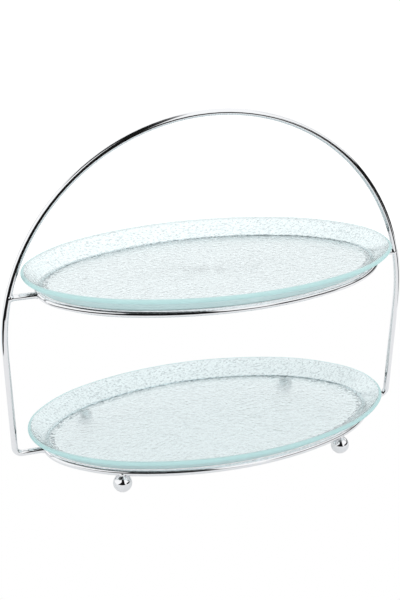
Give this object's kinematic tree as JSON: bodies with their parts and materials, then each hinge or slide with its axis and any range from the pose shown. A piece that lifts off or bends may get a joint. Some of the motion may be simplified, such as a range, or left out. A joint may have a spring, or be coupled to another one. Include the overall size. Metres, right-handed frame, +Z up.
{
  "type": "tiered cake stand",
  "caption": "Tiered serving stand with oval glass platters lying in the rings of a chromed wire frame, a round arch handle above and ball feet below.",
  "frame": {"origin": "on the table, under the middle of the stand", "axes": "+X along the platters, +Y to the back, +Z up; the arch lies in the XZ plane"},
  "size_m": [0.4028, 0.21, 0.3327],
  "materials": {
    "chromed_wire": "bright chrome plating on drawn steel wire",
    "chromed_ball": "bright chrome plating on a steel ball",
    "platter_glass": "clear glass with a faint aqua tint, hammered underside and smooth rim edge"
  },
  "bodies": {
    "stand": {"arch_frame": "chromed_wire", "upper_ring": "chromed_wire", "lower_ring": "chromed_wire", "upper_left_arm": "chromed_wire", "upper_right_arm": "chromed_wire", "foot_front_left": "chromed_ball", "foot_front_right": "chromed_ball", "foot_rear_left": "chromed_ball", "foot_rear_right": "chromed_ball"},
    "upper_platter": {"upper_platter": "platter_glass"},
    "lower_platter": {"lower_platter": "platter_glass"}
  },
  "joints": [
    {"name": "upper_platter_lift", "type": "slide", "parent": "stand", "child": "upper_platter", "axis": [0, -0.788, 0.6157], "range_m": [0, 0.18]},
    {"name": "lower_platter_lift", "type": "slide", "parent": "stand", "child": "lower_platter", "axis": [0, -0.788, 0.6157], "range_m": [0, 0.18]}
  ]
}
